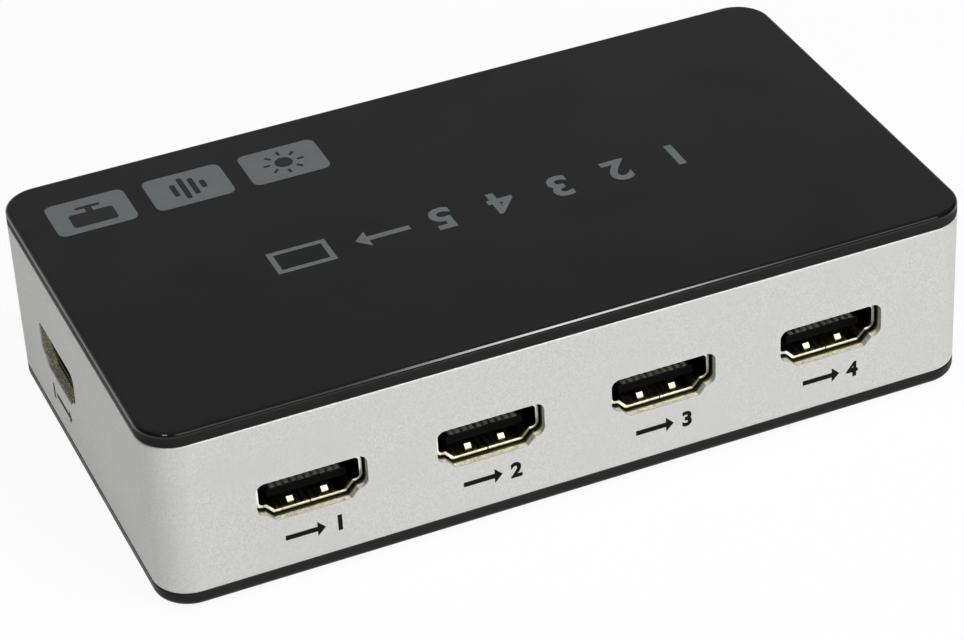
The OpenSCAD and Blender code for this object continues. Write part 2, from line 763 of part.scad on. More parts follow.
module main_board() {
    color("#1f5b3a") difference() {
        translate([0, 0, board_z]) linear_extrude(board_t) square([board_w, board_d], center = true);
        for (x = [-1, 1], y = [-1, 1]) translate([x*boss_x, y*boss_y, board_z - over]) {
            cylinder(d = boss_d + 2*notch_gap, h = board_t + 2*over);
            translate([x > 0 ? -boss_d/2 - notch_gap : -boss_in, y > 0 ? 0 : -boss_in, 0])
                cube([boss_in + boss_d/2 + notch_gap, boss_in, board_t + 2*over]);
            translate([x > 0 ? 0 : -boss_in, y > 0 ? -boss_d/2 - notch_gap : -boss_in, 0])
                cube([boss_in, boss_in + boss_d/2 + notch_gap, board_t + 2*over]);
        }
        at_board_screws() translate([0, 0, board_z - over])
            cylinder(d = board_screw_d + 2*shank_gap, h = board_t + 2*over);
        for (p = socket_places) at_place(p) for (s = [-1, 1], y = [leg_front, leg_back])
            translate([s*(opening_w + sheet)/2 - sheet/2 - lead_gap, socket_recess + y - lead_gap, leg_end])
                cube([sheet + 2*lead_gap, leg_w + 2*lead_gap, lead_out + board_t + over]);
        at_front(button_x) {
            for (x = [-switch_pin_x, switch_pin_x], y = switch_pin_y)
                board_slot(x, y, switch_pin_w, switch_pin_t, front_z);
            board_slot(0, 0, flange_d + 2*button_gap, 2*(relief_y - lead_gap), front_z);
        }
        for (x = light_x) at_front(x) for (s = [-1, 1])
            board_slot(s*light_lead_pitch/2, light_lead_y, light_lead_t, light_lead_t, front_z);
        at_front(window_x) for (s = [-1:1])
            board_slot(s*receiver_lead_pitch, receiver_lead_y, receiver_lead_t, receiver_lead_t, front_z);
        at_jack() for (y = [pin_plate_y, spring_y]) board_slot(0, y, terminal_w, terminal_t, jack_z);
    }
}

// Slot through the board for a lead of w by t, in a frame whose origin is at the height level
module board_slot(x, y, w, t, level) {
    translate([x - w/2 - lead_gap, y - t/2 - lead_gap, board_z - level - over])
        cube([w + 2*lead_gap, t + 2*lead_gap, board_t + 2*over]);
}

module board_screws() {
    color("#a8abb0") at_board_screws() translate([0, 0, board_screw_z]) mirror([0, 0, 1])
        screw(board_screw_d, board_screw_len, board_head_d, board_head_h);
}

module select_button() {
    color("#2a2a2c") at_front(button_x) turned(-button_out) {
        edge_profile(button_d/2, button_out + flange_y, button_edge_r, 0);
        translate([0, button_out + flange_y])
            square([flange_d/2, flange_t]);
        square([stem_d/2, button_out + stem_tip]);
    }
}

module switch_stem() {
    color("#c9bfa8") at_front(button_x) turned(stem_tip + seat_gap) {
        square([stem_d/2, collar_y - stem_tip]);
        translate([0, collar_y - stem_tip - seat_gap]) square([collar_d/2, collar_t]);
        square([stem_d/4, nub_end - stem_tip - seat_gap]);
    }
}

module switch_body() {
    grip_w = switch_pin_w + 2*contact_gap;
    grip_t = switch_pin_t + 2*contact_gap;
    color("#303033") at_front(button_x) difference() {
        inward(switch_front, switch_t) square(switch_size, center = true);
        turned(switch_front - over) square([cavity_d/2, dome_y + seat_gap - switch_front + over]);
        for (x = [-switch_pin_x, switch_pin_x], y = switch_pin_y)
            translate([x - grip_w/2, y - grip_t/2, -switch_size/2 - over])
                cube([grip_w, grip_t, over + switch_pin_in]);
    }
}

module switch_cover() {
    color("#c4c7ca") at_front(button_x) inward(switch_in, cover_t) difference() {
        square(switch_size, center = true);
        circle(d = stem_d + 2*stem_gap);
    }
}

// The dome is drawn pressed flat, so that the stem has its whole travel
module switch_dome() {
    color("#b9a36a") at_front(button_x) turned(dome_y) polygon([
        [0, -dome_h], [stem_d/4, -dome_h], [collar_d/2, 0], [collar_d/2, -dome_t],
        [stem_d/4, -dome_h - dome_t], [0, -dome_h - dome_t]
    ]);
}

module switch_terminals() {
    low = board_z - lead_out - front_z;
    color("#b5b8bc") at_front(button_x) for (x = [-switch_pin_x, switch_pin_x], y = switch_pin_y)
        translate([x - switch_pin_w/2, y - switch_pin_t/2, low])
            cube([switch_pin_w, switch_pin_t, -switch_size/2 + switch_pin_in - contact_gap - low]);
}

module indicator_lights() {
    color("#dfe3e6") for (x = light_x) at_front(x) turned(-light_out) {
        intersection() {
            translate([0, light_d/2]) circle(light_d/2);
            square(light_d);
        }
        translate([0, light_d/2]) square([light_d/2, light_len - light_d/2]);
        translate([0, light_len - light_collar_t]) square([light_d/2 + light_collar, light_collar_t]);
    }
}

module indicator_leads() {
    low = board_z - lead_out - front_z;
    run = light_lead_y - light_back - seat_gap;
    color("#b5b8bc") for (x = light_x) at_front(x) for (s = [-1, 1])
        across(s*light_lead_pitch/2, light_lead_t) {
            translate([light_back + seat_gap, -light_lead_t/2]) square([run + light_lead_t/2, light_lead_t]);
            translate([light_lead_y - light_lead_t/2, low]) square([light_lead_t, light_lead_t/2 - low]);
        }
}

module receiver_window() {
    color("#3a1016") at_front(window_x) {
        inward(seat_gap, frame_wall) rounded_rect(window_w, window_h, window_r);
        inward(frame_wall + seat_gap, window_flange_t)
            rounded_rect(window_w + 2*window_flange, window_h + 2*window_flange, window_r + window_flange);
    }
}

module receiver_body() {
    color("#26211f") at_front(window_x) {
        translate([-receiver_w/2, receiver_front, receiver_low]) cube([receiver_w, receiver_t, receiver_h]);
        turned(receiver_front - receiver_lens_r) intersection() {
            translate([0, receiver_lens_r]) circle(receiver_lens_r);
            square([receiver_lens_r, receiver_lens_r + joined]);
        }
    }
}

module receiver_leads() {
    low = board_z - lead_out - front_z;
    color("#b5b8bc") at_front(window_x) for (s = [-1:1])
        translate([s*receiver_lead_pitch - receiver_lead_t/2, receiver_lead_y - receiver_lead_t/2, low])
            cube([receiver_lead_t, receiver_lead_t, receiver_low - seat_gap - low]);
}

module jack_body() {
    low = board_top + seat_gap - jack_z;
    color("#1b1b1d") at_jack() difference() {
        inward(jack_front, jack_len) translate([-jack_w/2, low]) square([jack_w, jack_h]);
        turned(jack_front - over) square([jack_bore/2, jack_depth + over]);
        turned(jack_front + over) square([jack_pin_d/2 + contact_gap, jack_len]);
        translate([-terminal_w/2 - lead_gap, jack_cavity, low - over])
            cube([terminal_w + 2*lead_gap, jack_len, over - low + jack_pin_d]);
        translate([-terminal_w/2 - lead_gap, jack_front + jack_wall, low - over])
            cube([terminal_w + 2*lead_gap, spring_y + terminal_t - jack_front - jack_wall, over - low]);
    }
}

// Centre pin with the plate and tail that it is riveted to
module jack_pin() {
    low = board_z - lead_out - jack_z;
    color("#c9ccd0") at_jack() {
        turned(jack_front + jack_pin_in)
            edge_profile(jack_pin_d/2, pin_plate_y - jack_front - jack_pin_in, jack_pin_d/5, 0);
        translate([-terminal_w/2, pin_plate_y - terminal_t/2, low])
            cube([terminal_w, terminal_t, jack_pin_d/2 - low]);
    }
}

// Leaf spring under the bore, rising into it near the front, with its tail through the board
module jack_spring() {
    low = board_z - lead_out - jack_z;
    floor_z = -jack_bore/2 - spring_drop;
    tip = jack_front + spring_in;
    crest = -jack_bore/2 + spring_lift;
    color("#c9ccd0") at_jack() across(0, terminal_w) {
        translate([spring_y - terminal_t/2, low]) square([terminal_t, floor_z + terminal_t - low]);
        polygon([
            [spring_y + terminal_t/2, floor_z], [spring_y + terminal_t/2, floor_z + terminal_t],
            [tip + spring_tip, crest], [tip, -jack_bore/2], [tip, -jack_bore/2 - terminal_t],
            [tip + spring_tip, crest - terminal_t]
        ]);
    }
}

// Row of gull-wing leads that leave a chip's side at y = 0 towards +Y
module lead_row(count, pitch, w, up) {
    foot = lead_reach*0.55;
    for (i = [0:count - 1]) across((i - (count - 1)/2)*pitch, w) {
        translate([seat_gap, up]) square([lead_reach - foot, lead_t]);
        translate([lead_reach - foot - lead_t + seat_gap, 0]) square([lead_t, up + lead_t]);
        translate([lead_reach - foot - lead_t + seat_gap, 0]) square([foot + lead_t, lead_t]);
    }
}

module switching_chip() {
    color("#2c2c2e") translate([chip_place[0], chip_place[1], board_top + chip_up]) difference() {
        linear_extrude(chip_t) square(chip_size, center = true);
        translate([-chip_size*0.38, chip_size*0.38, chip_t - mark_deep])
            cylinder(r = chip_size*0.06, h = over);
    }
}

module switching_chip_leads() {
    color("#b5b8bc") translate([chip_place[0], chip_place[1], board_top + seat_gap])
        for (a = [0:90:270]) rotate([0, 0, a]) translate([0, chip_size/2, 0])
            lead_row(chip_leads, chip_pitch, chip_pitch*0.45, chip_up + chip_t*0.4);
}

module control_chip() {
    color("#2c2c2e") translate([control_place[0], control_place[1], board_top + chip_up]) difference() {
        linear_extrude(chip_t) square([control_len, control_w], center = true);
        translate([-control_len*0.42, -control_w*0.3, chip_t - mark_deep])
            cylinder(r = control_w*0.1, h = over);
    }
}

module control_chip_leads() {
    color("#b5b8bc") translate([control_place[0], control_place[1], board_top + seat_gap])
        for (a = [0, 180]) rotate([0, 0, a]) translate([0, control_w/2, 0])
            lead_row(control_leads, control_pitch, control_pitch*0.35, chip_up + chip_t*0.4);
}

module crystal() {
    flange = 0.4;
    end_r = crystal_w/2 - tangent;
    color("#c4c7ca") translate([crystal_place[0], crystal_place[1], board_top + seat_gap]) {
        linear_extrude(flange) rounded_rect(crystal_len, crystal_w, end_r);
        linear_extrude(crystal_h)
            rounded_rect(crystal_len - 2*flange, crystal_w - 2*flange, end_r - flange);
    }
}

module capacitors() {
    low_r = 0.2;
    top_r = 0.5;
    groove_up = 1.2;
    groove_r = 0.4;
    groove_out = 0.1;
    color("#3b3f52") for (i = [-0.5, 0.5])
        translate([capacitor_x, capacitor_place[1] + i*capacitor_pitch, board_top + seat_gap]) difference() {
            rotate_extrude() edge_profile(capacitor_d/2, capacitor_h, low_r, top_r);
            translate([0, 0, groove_up]) rotate_extrude()
                translate([capacitor_d/2 + groove_out, 0]) circle(groove_r);
        }
}

module regulator() {
    color("#2c2c2e") translate([regulator_place[0], regulator_place[1], board_top + seat_gap]) {
        translate([-regulator_len/2, -regulator_w/2, 0]) cube([regulator_len, regulator_w, regulator_h]);
        translate([-regulator_len*0.23, 0, 0])
            cube([regulator_len*0.46, regulator_w/2 + regulator_reach, regulator_lead_t]);
        for (i = [-1:1])
            translate([i*regulator_len*0.35 - regulator_lead_w/2, -regulator_w/2 - regulator_reach, 0])
                cube([regulator_lead_w, regulator_reach + joined, regulator_lead_t]);
    }
}

module resistors() {
    color("#3a3a3c") for (p = input_places, i = [-1:1])
        translate([p[0] + i*resistor_pitch - resistor_w/2, resistor_in - body_d/2, board_top + seat_gap])
            cube([resistor_w, resistor_len, resistor_h]);
}

module shell_node(p) { color("#d8c98a") at_place(p) socket_shell(); }
module insulator_node(p) { color("#141414") at_place(p) socket_insulator(); }
module contacts_node(p) { color("#d9c67e") at_place(p) all_contacts(); }

top_cover();
side_frame();
bottom_cover();
case_screws();
rubber_feet();
main_board();
board_screws();
shell_node(input_places[0]);  // input_1_shell
insulator_node(input_places[0]);  // input_1_insulator
contacts_node(input_places[0]);  // input_1_contacts
shell_node(input_places[1]);  // input_2_shell
insulator_node(input_places[1]);  // input_2_insulator
contacts_node(input_places[1]);  // input_2_contacts
shell_node(input_places[2]);  // input_3_shell
insulator_node(input_places[2]);  // input_3_insulator
contacts_node(input_places[2]);  // input_3_contacts
shell_node(input_places[3]);  // input_4_shell
insulator_node(input_places[3]);  // input_4_insulator
contacts_node(input_places[3]);  // input_4_contacts
shell_node(input_5_place);  // input_5_shell
insulator_node(input_5_place);  // input_5_insulator
contacts_node(input_5_place);  // input_5_contacts
shell_node(output_place);  // output_shell
insulator_node(output_place);  // output_insulator
contacts_node(output_place);  // output_contacts
select_button();
switch_stem();
switch_body();
switch_cover();
switch_dome();
switch_terminals();
indicator_lights();
indicator_leads();
receiver_window();
receiver_body();
receiver_leads();
jack_body();
jack_pin();
jack_spring();
switching_chip();
switching_chip_leads();
control_chip();
control_chip_leads();
crystal();
capacitors();
regulator();
resistors();
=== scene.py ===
import json
import math

import bmesh
import bpy
from mathutils import Matrix, Vector


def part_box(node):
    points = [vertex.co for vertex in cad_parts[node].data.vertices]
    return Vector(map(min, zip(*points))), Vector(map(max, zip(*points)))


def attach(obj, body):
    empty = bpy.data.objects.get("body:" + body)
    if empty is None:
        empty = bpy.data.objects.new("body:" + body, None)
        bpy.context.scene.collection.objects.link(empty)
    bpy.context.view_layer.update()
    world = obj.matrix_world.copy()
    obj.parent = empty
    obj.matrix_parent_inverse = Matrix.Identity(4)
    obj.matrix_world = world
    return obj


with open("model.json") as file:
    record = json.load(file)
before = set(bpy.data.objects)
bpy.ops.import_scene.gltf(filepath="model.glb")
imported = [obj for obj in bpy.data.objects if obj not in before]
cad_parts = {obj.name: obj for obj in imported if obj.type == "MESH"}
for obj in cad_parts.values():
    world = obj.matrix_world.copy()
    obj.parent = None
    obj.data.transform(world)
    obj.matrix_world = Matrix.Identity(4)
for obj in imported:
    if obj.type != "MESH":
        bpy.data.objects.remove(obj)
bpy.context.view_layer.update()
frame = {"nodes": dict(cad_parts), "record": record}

# Sizes of the case

MM = 0.001


def socket_middle(node):
    """The middle of a socket's shell, in metres."""
    low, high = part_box(node + "_shell")
    return (low + high) / 2


frame_low, frame_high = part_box("side_frame")
lid_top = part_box("top_cover")[1].z
# These are in mm: the case's sides and corners, and the sockets' places in it
CASE_W = (frame_high.x - frame_low.x) / MM
CASE_D = (frame_high.y - frame_low.y) / MM
CORNER_R = 5.2
SOCKET_RECESS = 1.5
SOCKET_PITCH = (socket_middle("input_2").x - socket_middle("input_1").x) / MM
END_SOCKET_Y = socket_middle("output").y / MM

# Node helpers


def add(tree, kind, inputs=None, **settings):
    """Adds one shader node; an input is a value or another node's socket."""
    node = tree.nodes.new(kind)
    for key, value in settings.items():
        setattr(node, key, value)
    for key, value in (inputs or {}).items():
        if isinstance(value, bpy.types.NodeSocket):
            tree.links.new(value, node.inputs[key])
        else:
            node.inputs[key].default_value = value
    return node


def maths(tree, operation, first, second=0.5):
    """The result of one Math node."""
    return add(tree, "ShaderNodeMath", {0: first, 1: second}, operation=operation).outputs[0]


def vector_maths(tree, operation, inputs):
    """The vector that one Vector Math node gives."""
    return add(tree, "ShaderNodeVectorMath", inputs, operation=operation).outputs[0]


def parts_of(tree, vector):
    """A vector's X, Y and Z."""
    return add(tree, "ShaderNodeSeparateXYZ", {"Vector": vector}).outputs


def spread(tree, value, low, high, to_low=0.0, to_high=1.0):
    """A value carried smoothly from one range to another."""
    limits = {"Value": value, "From Min": low, "From Max": high, "To Min": to_low, "To Max": to_high}
    return add(tree, "ShaderNodeMapRange", limits, interpolation_type="SMOOTHSTEP").outputs["Result"]


def left_over(tree, share):
    """What a share leaves of the whole."""
    return maths(tree, "SUBTRACT", 1.0, share)


def noise(tree, place, **settings):
    """A noise texture's value at a place."""
    return add(tree, "ShaderNodeTexNoise", {"Vector": place, **settings}).outputs[0]


def blend_colours(tree, mask, first, second):
    """Two colours mixed by a mask."""
    node = tree.nodes.new("ShaderNodeMix")
    node.data_type = "RGBA"
    tree.links.new(mask, node.inputs["Factor"])
    for socket, colour in ((node.inputs[6], first), (node.inputs[7], second)):
        if isinstance(colour, bpy.types.NodeSocket):
            tree.links.new(colour, socket)
        else:
            socket.default_value = (*colour, 1.0)
    return node.outputs[2]


def new_group(name, inputs, outputs):
    """An empty node group with named sockets, and its two ends."""
    group = bpy.data.node_groups.new(name, "ShaderNodeTree")
    for label, default in inputs:
        kind = "NodeSocketVector" if isinstance(default, tuple) else "NodeSocketFloat"
        group.interface.new_socket(label, in_out="INPUT", socket_type=kind).default_value = default
    for label in outputs:
        group.interface.new_socket(label, in_out="OUTPUT", socket_type="NodeSocketFloat")
    return group, group.nodes.new("NodeGroupInput"), group.nodes.new("NodeGroupOutput")


def place_group(tree, group, **values):
    """One use of a group, with its own values; an underscore in a name stands for a space."""
    node = add(tree, "ShaderNodeGroup", node_tree=group)
    for key, value in values.items():
        node.inputs[key.replace("_", " ")].default_value = value
    return node.outputs


def object_place(tree):
    """Where a point lies in the case's own frame, in metres."""
    return add(tree, "ShaderNodeTexCoord").outputs["Object"]


def place_mm(tree):
    """Where a point lies in the case's own frame, in mm."""
    return vector_maths(tree, "SCALE", {0: object_place(tree), "Scale": 1.0 / MM})


def per_mm(tree, size_mm):
    """Where a point lies, counted in units of a size given in mm."""
    scale = maths(tree, "DIVIDE", 1.0 / MM, size_mm)
    return vector_maths(tree, "SCALE", {0: object_place(tree), "Scale": scale})


# Effects that finishes share


def make_fine_grain():
    """Blasted or moulded grain: a height for bump, and a lighter and darker speckle."""
    group, given, result = new_group("fine grain", [("Size mm", 0.2)], ["Height", "Speckle"])
    place = per_mm(group, given.outputs["Size mm"])
    bumps = noise(group, place, Scale=1.0, Detail=3.0, Roughness=0.65)
    flecks = noise(group, place, Scale=0.55, Detail=2.0, Roughness=0.7)
    group.links.new(bumps, result.inputs["Height"])
    group.links.new(spread(group, flecks, 0.32, 0.68), result.inputs["Speckle"])
    return group


def make_handling():
    """Faint smudges from hands and wiping, as a soft mask."""
    group, given, result = new_group("handling smudges", [("Size mm", 20.0)], ["Mask"])
    place = per_mm(group, given.outputs["Size mm"])
    smear = noise(group, place, Scale=1.0, Detail=4.0, Roughness=0.55, Distortion=0.8)
    group.links.new(spread(group, smear, 0.4, 0.72), result.inputs["Mask"])
    return group


def make_edge_rub():
    """Edges broken up by a little noise: where rubbing has touched them, and where a painted highlight lies
    along them.
    """
    group, given, result = new_group("edge wear and highlight", [("Width mm", 0.3)], ["Mask"])
    width = given.outputs["Width mm"]
    radius = maths(group, "MULTIPLY", width, MM)
    rounded = add(group, "ShaderNodeBevel", {"Radius": radius}, samples=6).outputs["Normal"]
    flat = add(group, "ShaderNodeNewGeometry").outputs["Normal"]
    pair = {0: rounded, 1: flat}
    same = add(group, "ShaderNodeVectorMath", pair, operation="DOT_PRODUCT").outputs["Value"]
    turned = spread(group, left_over(group, same), 0.01, 0.2)
    place = per_mm(group, maths(group, "MULTIPLY", width, 3.0))
    broken = spread(group, noise(group, place, Scale=1.0, Detail=3.0), 0.3, 0.6)
    group.links.new(maths(group, "MULTIPLY", turned, broken), result.inputs["Mask"])
    return group


def make_drawn_streaks():
    """Fine streaks left along drawn or rolled metal; Stretch gives their size along each axis in mm."""
    stretch = [("Stretch mm", (1.0, 1.0, 1.0))]
    group, given, result = new_group("drawn streaks", stretch, ["Height", "Streak"])
    along = vector_maths(group, "DIVIDE", {0: place_mm(group), 1: given.outputs["Stretch mm"]})
    streak = noise(group, along, Scale=1.0, Detail=4.0, Roughness=0.6)
    group.links.new(streak, result.inputs["Height"])
    group.links.new(spread(group, streak, 0.35, 0.65), result.inputs["Streak"])
    return group


fine_grain = make_fine_grain()
handling = make_handling()
edge_wear_and_highlight_group = make_edge_rub()
drawn_streaks = make_drawn_streaks()


def smudges(tree, size_mm):
    """The mask of the handling smudges, of a size in mm."""
    return place_group(tree, handling, Size_mm=size_mm)["Mask"]


def rubbed_edges(tree, width_mm):
    """The mask of the worn edges and of the edges with a painted highlight, of a width in mm."""
    return place_group(tree, edge_wear_and_highlight_group, Width_mm=width_mm)["Mask"]


# Places on the case that finishes ask for


def height_mm(tree):
    """How high a point lies above the table, in mm."""
    return maths(tree, "DIVIDE", parts_of(tree, object_place(tree))["Z"], MM)


def part_facing(tree, axis):
    """How far a surface faces along an axis, either way: 1 square to it and 0 along it."""
    facing = add(tree, "ShaderNodeNewGeometry").outputs["Normal"]
    return maths(tree, "ABSOLUTE", parts_of(tree, facing)[axis])


def depth_in_walls(tree):
    """How far a point lies in mm under the case's upright faces and their round corners, and a
    mask of the case's two ends."""
    end_from, end_to = 10.5, 9.5
    beside = vector_maths(tree, "ABSOLUTE", {0: place_mm(tree)})
    ends = spread(tree, parts_of(tree, beside)["X"], CASE_W / 2 - end_from, CASE_W / 2 - end_to)
    core = (CASE_W / 2 - CORNER_R, CASE_D / 2 - CORNER_R, 1.0 / MM)
    past_core = vector_maths(tree, "SUBTRACT", {0: beside, 1: core})
    outward = vector_maths(tree, "MAXIMUM", {0: past_core, 1: (0.0, 0.0, 0.0)})
    reach = add(tree, "ShaderNodeVectorMath", {0: outward}, operation="LENGTH").outputs["Value"]
    return maths(tree, "SUBTRACT", CORNER_R, reach), ends


def beside_socket(tree):
    """How far a point lies in mm beside the middle of the socket that it belongs to."""
    spot = parts_of(tree, place_mm(tree))
    turns = maths(tree, "FRACT", maths(tree, "DIVIDE", spot["X"], SOCKET_PITCH))
    aside = maths(tree, "ABSOLUTE", maths(tree, "SUBTRACT", turns, 0.5))
    in_row = maths(tree, "MULTIPLY", aside, SOCKET_PITCH)
    at_end = maths(tree, "ABSOLUTE", maths(tree, "SUBTRACT", spot["Y"], END_SOCKET_Y))
    ends = depth_in_walls(tree)[1]
    at_end = maths(tree, "MULTIPLY", at_end, ends)
    return maths(tree, "ADD", at_end, maths(tree, "MULTIPLY", in_row, left_over(tree, ends)))


# Finishes


def start_finish(name):
    """A material with a Principled shader and nothing else yet."""
    material = bpy.data.materials.new(name)
    material.use_nodes = True
    tree = material.node_tree
    tree.nodes.clear()
    shader = tree.nodes.new("ShaderNodeBsdfPrincipled")
    output = tree.nodes.new("ShaderNodeOutputMaterial")
    tree.links.new(shader.outputs["BSDF"], output.inputs["Surface"])
    return material, tree, shader


def dress(tree, shader, colour, roughness, height, depth_mm):
    """Feeds a finish's colour, roughness and bumps, of a depth in mm, to its shader."""
    tree.links.new(colour, shader.inputs["Base Color"])
    tree.links.new(roughness, shader.inputs["Roughness"])
    bump = add(tree, "ShaderNodeBump", {"Height": height, "Distance": depth_mm * MM, "Strength": 1.0})
    tree.links.new(bump.outputs["Normal"], shader.inputs["Normal"])


def shade(colour, share):
    """A colour made lighter or darker."""
    return tuple(min(1.0, part * share) for part in colour)


def grey(level):
    """A neutral grey."""
    return (level, level, level)


def gloss_lid_finish():
    """Black moulding with a polished skin on top, faintly waved and smudged, and satin at its sides."""
    material, tree, shader = start_finish("gloss black lid")
    skin_from, skin_to = lid_top / MM - 0.8, lid_top / MM - 0.5
    below_edge = spread(tree, height_mm(tree), skin_from, skin_to, 1.0, 0.0)
    smudge = smudges(tree, 24.0)
    wave = place_group(tree, fine_grain, Size_mm=5.0)
    polished = blend_colours(tree, wave["Speckle"], (0.0018, 0.0018, 0.002), (0.0026, 0.0026, 0.0028))
    colour = blend_colours(tree, below_edge, polished, (0.017, 0.017, 0.0165))
    dress(tree, shader, colour, spread(tree, smudge, 0.0, 1.0, 0.52, 0.6), wave["Height"], 0.0025)
    clean = spread(tree, smudge, 0.0, 1.0, 1.0, 0.94)
    skin = maths(tree, "MULTIPLY", clean, left_over(tree, below_edge))
    tree.links.new(skin, shader.inputs["Coat Weight"])
    shader.inputs["Specular IOR Level"].default_value = 0.05
    shader.inputs["Coat Roughness"].default_value = 0.075
    shader.inputs["Coat IOR"].default_value = 1.415
    return material


def silver_frame_finish():
    """Blasted silver: a fine speckle, bright rubbed edges that are partly a painted highlight, and walls in
    the cut-outs whose warm tone is partly a painted reflection of the gold shells, lighter where they face up
    as painted light, and darkening deeper in as painted shade."""
    material, tree, shader = start_finish("blasted silver frame")
    grain = place_group(tree, fine_grain, Size_mm=0.16)
    plain = blend_colours(tree, grain["Speckle"], (0.59, 0.595, 0.572), (0.68, 0.685, 0.66))
    cloudy = blend_colours(tree, smudges(tree, 14.0), plain, (0.62, 0.625, 0.605))
    # The frame's lighter edges are partly rubbed wear and partly a painted highlight along the edges.
    lighter_edges = blend_colours(tree, rubbed_edges(tree, 0.22), cloudy, (0.82, 0.82, 0.80))
    mottle = smudges(tree, 0.5)
    # The cut-out walls' warm tone, here and at the two ends, is partly a painted reflection of the gold
    # shells; up-facing walls are painted lighter than side walls as painted light.
    sill = blend_colours(tree, mottle, (0.82, 0.78, 0.57), (0.46, 0.43, 0.3))
    jamb = blend_colours(tree, mottle, (0.5, 0.49, 0.43), (0.28, 0.27, 0.23))
    cut = blend_colours(tree, spread(tree, part_facing(tree, "Z"), 0.6, 0.95), jamb, sill)
    cut_end = blend_colours(tree, smudges(tree, 0.22), (0.24, 0.23, 0.16), (0.85, 0.83, 0.7))
    depth, ends = depth_in_walls(tree)
    cut = blend_colours(tree, ends, cut, cut_end)
    opened = blend_colours(tree, spread(tree, depth, 0.1, 0.3), lighter_edges, cut)
    # Past about 0.75 mm into a cut-out's walls the colour turns near black: painted shade, which starts
    # deeper at the two ends.
    lit_depth = maths(tree, "SUBTRACT", depth, maths(tree, "MULTIPLY", ends, 0.4))
    shaded = spread(tree, lit_depth, 0.75, 1.15)
    colour = blend_colours(tree, shaded, opened, (0.03, 0.026, 0.016))
    roughness = spread(tree, grain["Speckle"], 0.0, 1.0, 0.55, 0.44)
    dress(tree, shader, colour, roughness, grain["Height"], 0.012)
    shader.inputs["Metallic"].default_value = 0.35
    shader.inputs["Specular IOR Level"].default_value = 0.15
    shader.inputs["Specular Tint"].default_value = (0.85, 0.85, 0.85, 1.0)
    return material


def moulded_finish(name, colour, roughness, grain_mm, depth_mm, rub_mm=0.25, gloss=0.5):
    """Satin moulded plastic: grain, a little tone and slightly polished edges."""
    material, tree, shader = start_finish(name)
    grain = place_group(tree, fine_grain, Size_mm=grain_mm)
    smudge = smudges(tree, grain_mm * 60.0)
    polished = tuple(part + 0.006 for part in shade(colour, 1.2))
    plain = blend_colours(tree, grain["Speckle"], shade(colour, 0.85), shade(colour, 1.15))
    lighter_edges = blend_colours(tree, rubbed_edges(tree, rub_mm), plain, polished)
    dulled = spread(tree, smudge, 0.0, 1.0, roughness, roughness * 0.8)
    dress(tree, shader, lighter_edges, dulled, grain["Height"], depth_mm)
    shader.inputs["Specular IOR Level"].default_value = gloss
    return material


def plated_finish(name, colour, roughness, stretch_mm):
    """Plated or bright metal with fine drawing streaks and dulled patches."""
    material, tree, shader = start_finish(name)
    drawn = place_group(tree, drawn_streaks, Stretch_mm=stretch_mm)
    patch = smudges(tree, 2.5)
    plain = blend_colours(tree, drawn["Streak"], shade(colour, 0.9), shade(colour, 1.06))
    dulled = blend_colours(tree, patch, plain, shade(colour, 0.8))
    sheen = spread(tree, patch, 0.0, 1.0, roughness, roughness + 0.12)
    dress(tree, shader, dulled, sheen, drawn["Height"], 0.003)
    shader.inputs["Metallic"].default_value = 1.0
    return material


def shell_finish():
    """Pale gold plated sheet: bright at its front edge, darkened inside past it as painted shade except on
    the spring fingers, and dull where plugs rub its spring fingers."""
    material, tree, shader = start_finish("pale gold shell")
    drawn = place_group(tree, drawn_streaks, Stretch_mm=(0.15, 1.6, 0.15))
    patch = smudges(tree, 2.5)
    depth, ends = depth_in_walls(tree)
    inside = spread(tree, depth, SOCKET_RECESS + 0.15, SOCKET_RECESS + 0.5)
    along = maths(tree, "MULTIPLY", part_facing(tree, "X"), ends)
    across = maths(tree, "MULTIPLY", part_facing(tree, "Y"), left_over(tree, ends))
    faces_out = spread(tree, maths(tree, "ADD", along, across), 0.4, 0.6)
    finger = maths(tree, "MULTIPLY", inside, faces_out)
    plain = blend_colours(tree, drawn["Streak"], (0.97, 0.95, 0.84), (1.0, 0.99, 0.9))
    dulled = blend_colours(tree, patch, plain, (0.95, 0.93, 0.81))
    # Past the front edge the inside turns dark brown: painted shade, which the spring fingers are kept out
    # of.
    dim = blend_colours(tree, inside, dulled, (0.3, 0.28, 0.2))
    colour = blend_colours(tree, finger, dim, (0.9, 0.85, 0.62))
    sheen = spread(tree, patch, 0.0, 1.0, 0.16, 0.26)
    roughness = maths(tree, "ADD", sheen, maths(tree, "MULTIPLY", finger, 0.42))
    dress(tree, shader, colour, roughness, drawn["Height"], 0.003)
    shader.inputs["Metallic"].default_value = 1.0
    return material


def socket_moulding_finish():
    """Dull black moulding, with grey painted on the up-facing ridge edges between the contacts as a painted
    highlight where light catches the comb.
    """
    material, tree, shader = start_finish("socket moulding")
    ridges_from, ridges_to = 4.9, 5.1
    grain = place_group(tree, fine_grain, Size_mm=0.12)
    # Grey on the up-facing ridge edges between the contacts is a painted highlight.
    level = spread(tree, part_facing(tree, "Z"), 0.8, 0.95)
    ridge = maths(tree, "MULTIPLY", rubbed_edges(tree, 0.4), level)
    by_contacts = spread(tree, beside_socket(tree), ridges_from, ridges_to, 1.0, 0.0)
    ridge = maths(tree, "MULTIPLY", ridge, by_contacts)
    plain = blend_colours(tree, grain["Speckle"], grey(0.0025), grey(0.0035))
    colour = blend_colours(tree, ridge, plain, grey(0.5))
    roughness = spread(tree, grain["Speckle"], 0.0, 1.0, 0.5, 0.42)
    dress(tree, shader, colour, roughness, grain["Height"], 0.004)
    shader.inputs["Specular IOR Level"].default_value = 0.03
    return material


